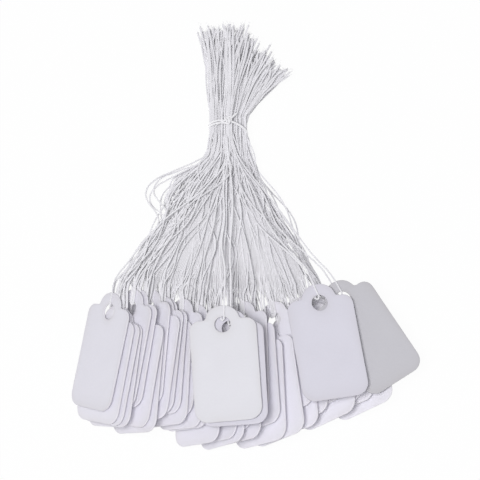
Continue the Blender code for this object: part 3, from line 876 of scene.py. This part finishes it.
def makeCore(c, legs):
    # a closed ridged section carried along the levels, its lower face from right to left and its upper one back:
    # height = mean plus or minus spread times the root of (1 - u squared), with ridges as a rectified sine
    y, left, right, mean, spread = coreLevels(c, legs)
    draw = np.random.default_rng(c["seed"])
    n, rows = c["ridges"], c["rows"]
    across = np.arange(c["ridgePoints"] * n + 1) / c["ridgePoints"]     # in ridges, over one face
    crest = np.abs(np.sin(math.pi * across))
    which = np.minimum(across.astype(int), n - 1)
    tone = draw.uniform(0, 1, n)[which]
    notch = c["notch"] * (1 - crest)
    starts = c["ragged"][0] * draw.uniform(0, 1, n)[which] + notch
    ends = 1 - c["ragged"][1] * draw.uniform(0, 1, n)[which] - notch
    uneven = draw.uniform(*c["uneven"], n)[which]
    share = np.linspace(0, 1, rows)[:, None]
    v = starts + (ends - starts) * share
    u = np.cos(math.pi * across / n) * c["crowded"] + (1 - 2 * across / n) * (1 - c["crowded"])
    u = u + c["wander"] * (1 - u ** 2) * np.sin(c["wanderWaves"][0] * v + c["wanderWaves"][1] * u)
    level = np.linspace(0, 1, len(y))
    low, high, along = [np.interp(v, level, column) for column in (left, right, y)]
    width = (high - low) / 2
    row, column = v * (len(y) - 1), (u + 1) / 2 * (c["places"] - 1)
    middle = between(mean, row, column)
    taper = np.minimum(1, c["taper"] * np.minimum(share + 0.01, 1.01 - share))
    rounded = np.sqrt(np.maximum(1 - u ** 2, 0))
    thick = between(spread, row, column) * c["thickness"] * taper * rounded + c["leastThickness"]
    ridge = crest * uneven * np.minimum(c["ridgeHeight"] * 2 * width / n, c["mostRidge"])
    x = low + (u + 1) * width
    upper = np.dstack([x, along, middle + thick + ridge])
    lower = np.dstack([x, along, middle - thick - ridge])
    ring = np.concatenate([lower, upper[:, ::-1]], 1)
    ring[..., 2] = np.maximum(ring[..., 2], c["lowest"])
    columns = ring.shape[1]
    corners, spots = gridFaces(rows, columns, False, True)
    k = np.arange(len(across) - 1)
    cap = np.stack([k, k + 1, columns - 2 - k, columns - 1 - k], 1)
    corners = np.concatenate([corners, cap, cap[:, ::-1] + (rows - 1) * columns])
    capFlat = np.zeros((2 * len(k), 4, 2)) + [[0.0, 0.0], [0.01, 0.0], [0.01, 0.01], [0.0, 0.01]]
    flat = np.concatenate([spots[:, :, ::-1] / [columns, rows - 1], capFlat])
    # painted shade: each ridge darkens towards the grooves beside it
    shade = c["groove"] + (1 - c["groove"]) * crest
    table = {"points": ring.reshape(-1, 3), "corners": corners, "spread": flat,
             "ply": np.tile(np.concatenate([shade, shade[::-1]]), rows),
             "tone": np.tile(np.concatenate([tone, tone[::-1]]), rows)}
    addThread("inner_strands", [table], tagThread)
    print("inner strands:", n, "ridges wide,", len(corners), "faces")


makeCore(core, [leg for leg, sags in threadLegs if not sags])


# Fibres that stand out of the cut ends

fibre = {
    "each": 4,              # at one cut end
    "diameter": 0.00006,
    "tip": 0.5,             # share of the diameter left there
    "length": (0.0005, 0.0011),
    "root": 0.0003,         # how deep it starts in its strand
    "back": 5,              # rings of the strand that give it its direction
    "splay": 0.27,
    "curl": 0.25,
    "rings": 5,
    "lowest": 0.0002,
    "seed": 31,
}


def makeFibres(f, legs):
    # each fibre is start + direction * s + curl * s squared, a square section that thins towards its tip
    draw = np.random.default_rng(f["seed"])
    tips = np.repeat([leg[0] for leg in legs], f["each"], axis=0)
    ways = np.repeat([unit(leg[0] - leg[f["back"]]) for leg in legs], f["each"], axis=0)
    count, rings = len(tips), f["rings"]
    ways = unit(ways + draw.normal(0, f["splay"], (count, 3)))
    length = draw.uniform(*f["length"], count)[:, None, None]
    bend = draw.normal(0, f["curl"], (count, 3))
    out = unit(np.cross(ways, draw.normal(0, 1, (count, 3))))
    other = np.cross(out, ways)
    step = np.linspace(0, 1, rings)
    s = step[None, :, None]
    line = tips[:, None] - f["root"] * ways[:, None] + length * (ways[:, None] * s + bend[:, None] * s ** 2)
    line[..., 2] = np.maximum(line[..., 2], f["lowest"])
    angle = np.arange(4) * math.pi / 2
    section = np.cos(angle)[:, None] * out[:, None] + np.sin(angle)[:, None] * other[:, None]
    radius = f["diameter"] / 2 * (1 - (1 - f["tip"]) * step)[None, :, None, None]
    points = line[:, :, None] + radius * section[:, None]
    corners, spots = gridFaces(rings, 4, False, True)
    last = 4 * (rings - 1)
    corners = np.concatenate([corners, [[0, 1, 2, 3], [last + 3, last + 2, last + 1, last]]])
    capFlat = np.zeros((2, 4, 2)) + [[0, 0], [1, 0], [1, 1], [0, 1]]
    flat = np.concatenate([spots[:, :, ::-1] / [4, rings - 1], capFlat])
    fibres = np.arange(count)[:, None, None, None]
    table = {"points": points.reshape(-1, 3), "corners": (fibres[..., 0] * 4 * rings + corners).reshape(-1, 4),
             "spread": ((flat + fibres * [1, 0]) / [count, 1]).reshape(-1, 4, 2),
             "ply": np.ones(count * rings * 4), "tone": np.repeat(draw.uniform(0, 1, count), 4 * rings)}
    addThread("cut_end_fibres", [table], tagThread)
    print("fibres made:", count)


makeFibres(fibre, [leg for leg, sags in threadLegs])


# The tie: a thread wound round the neck, with a tight knot on top

tie = {
    "diameter": 0.00040,
    "halfWidth": 0.00376,
    "halfHeight": 0.00306,
    "middle": 0.00332,      # height of the neck's centre
    "turns": 1.7,
    "pitch": 0.00050,
    "start": -0.0001,
    "slant": -0.18,         # the winding lies lower on the right
    "arch": 0.0009,         # and on both sides than on top
    "squareness": 2.5,
    "plyDepth": 0.10,       # how deep the groove between the two plies is
    "twistPitch": 0.0018,
    "tone": 0.8,
    "sides": 10,
    "rings": 260,
    "aside": (0.0, 1.0, 0.0),
    "knotSize": (0.0002312, 0.000272, 0.000252),
    "knotSink": 0.0004,
    "knotRings": 121,
    "knotDiameter": 0.00036,
    "knotAside": (0.1, 0.2, 1.0),
    "tails": (              # from the knot's middle: start, way and bend of each
        ((0.0005, 0.0003, -0.0003), (0.0009, 0.0008, -0.0006), (0.0003, 0.0004, 0.0)),
        ((-0.0005, -0.0001, -0.0003), (-0.0010, -0.0004, -0.0006), (-0.0008, -0.0003, 0.0)),
    ),
    "tailRings": 40,
}


def oval(angle, t):
    # a rounded square: powers of sine and cosine, scaled to the neck's half width and height
    power = 2 / t["squareness"]
    c, s = np.cos(angle), np.sin(angle)
    x = t["halfWidth"] * np.sign(c) * np.abs(c) ** power
    z = t["middle"] + t["halfHeight"] * np.sign(s) * np.abs(s) ** power
    return x, z


def tieTube(path, aside, diameter, t):
    length = np.linalg.norm(np.diff(path, axis=0), axis=1).sum()
    table = tubePoints(path, np.array(aside), diameter / 2, t["sides"], t["twistPitch"], length, depth=t["plyDepth"])
    table["tone"] = np.full(len(table["points"]), t["tone"])
    return table


def makeTie(t):
    # the winding: the oval carried along the neck, lower at its sides by the square of x
    angle = math.pi / 2 + np.linspace(0, 2 * math.pi * t["turns"], t["rings"])
    turn = (angle - angle[0]) / (2 * math.pi)
    x, z = oval(angle, t)
    arch = t["arch"] * (x / t["halfWidth"]) ** 2
    path = np.stack([x, t["start"] + t["pitch"] * turn + t["slant"] * x - arch, z], 1)
    table = tieTube(path, t["aside"], t["diameter"], t)
    table.update(tubeFaces(t["rings"], t["sides"], 0, 0, 1))
    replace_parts(addThread("tie_winding_thread", [table], tieThread), "tie_winding")

    # the knot is a trefoil flattened onto the winding, with two short tails
    middle = np.mean(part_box("tie_knot"), axis=0)
    a = np.linspace(0, 2 * math.pi, t["knotRings"])
    trefoil = np.stack([np.sin(a) + 2 * np.sin(2 * a), np.cos(a) - 2 * np.cos(2 * a), -np.sin(3 * a)], 1)
    lines = [middle + trefoil * t["knotSize"] - [0, 0, t["knotSink"]]]
    s = np.linspace(0, 1, t["tailRings"])[:, None]
    for start, way, bend in t["tails"]:
        lines.append(middle + np.array(start) + s * way + s ** 2 * bend)
    made = []
    first = 0
    for i, line in enumerate(lines):
        table = tieTube(line, t["knotAside"], t["knotDiameter"], t)
        table.update(tubeFaces(len(line), t["sides"], first, i, len(lines)))
        first += len(table["points"])
        made.append(table)
    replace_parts(addThread("tie_knot_thread", made, tieThread), "tie_knot")
    print("tie made:", t["turns"], "turns and a knot")


makeTie(tie)


# Table and light

studio = {
    "floorSize": 1.5,
    "floorTone": (0.88, 0.88, 0.88, 1.0),
    "floorWhite": 0.96,     # share of plain white that the floor shows whatever the light
    "worldTone": (0.97, 0.98, 1.0, 1.0),
    "worldLevel": 0.32,
    "keyPower": 4.3,
    "keyPlace": (-0.11, -0.21, 0.755),
    "keyAim": (0.0, -0.02, 0.0),
    "keySize": 0.24,
}


def makeStudio(s):
    half = s["floorSize"] / 2
    mesh = bpy.data.meshes.new("table")
    mesh.from_pydata([(-half, -half, 0), (half, -half, 0), (half, half, 0), (-half, half, 0)], [], [(0, 1, 2, 3)])
    floor = newObject("table", mesh)
    material = bpy.data.materials.new("tableWhite")
    material.use_nodes = True
    tree = material.node_tree
    tree.nodes.clear()
    wire = Wire(tree)
    path = tree.nodes.new("ShaderNodeLightPath")
    seen = [Wire(tree, path.outputs[k]) for k in ("Is Camera Ray", "Is Glossy Ray", "Is Transmission Ray")]
    shown = (seen[0] + seen[1] + seen[2]).clamped()
    lit = wire.node("ShaderNodeBsdfDiffuse", None, {"Color": s["floorTone"]})
    glow = wire.node("ShaderNodeEmission", None, {"Color": (1.0, 1.0, 1.0, 1.0), "Strength": 1.0})
    both = wire.node("ShaderNodeMixShader", None, {0: shown * s["floorWhite"], 1: lit, 2: glow})
    both.into(tree.nodes.new("ShaderNodeOutputMaterial").inputs["Surface"])
    mesh.materials.append(material)

    world = bpy.data.worlds.new("studio")
    bpy.context.scene.world = world
    world.use_nodes = True
    sky = world.node_tree.nodes["Background"].inputs
    sky["Color"].default_value = s["worldTone"]
    sky["Strength"].default_value = s["worldLevel"]

    lamp = bpy.data.lights.new("key", "AREA")
    lamp.size = s["keySize"]
    lamp.energy = s["keyPower"]
    key = newObject("key", lamp)
    key.location = s["keyPlace"]
    key.rotation_euler = (Vector(s["keyAim"]) - key.location).to_track_quat("-Z", "Y").to_euler()
    bpy.context.scene.view_settings.view_transform = "Standard"
    print("studio made")


makeStudio(studio)
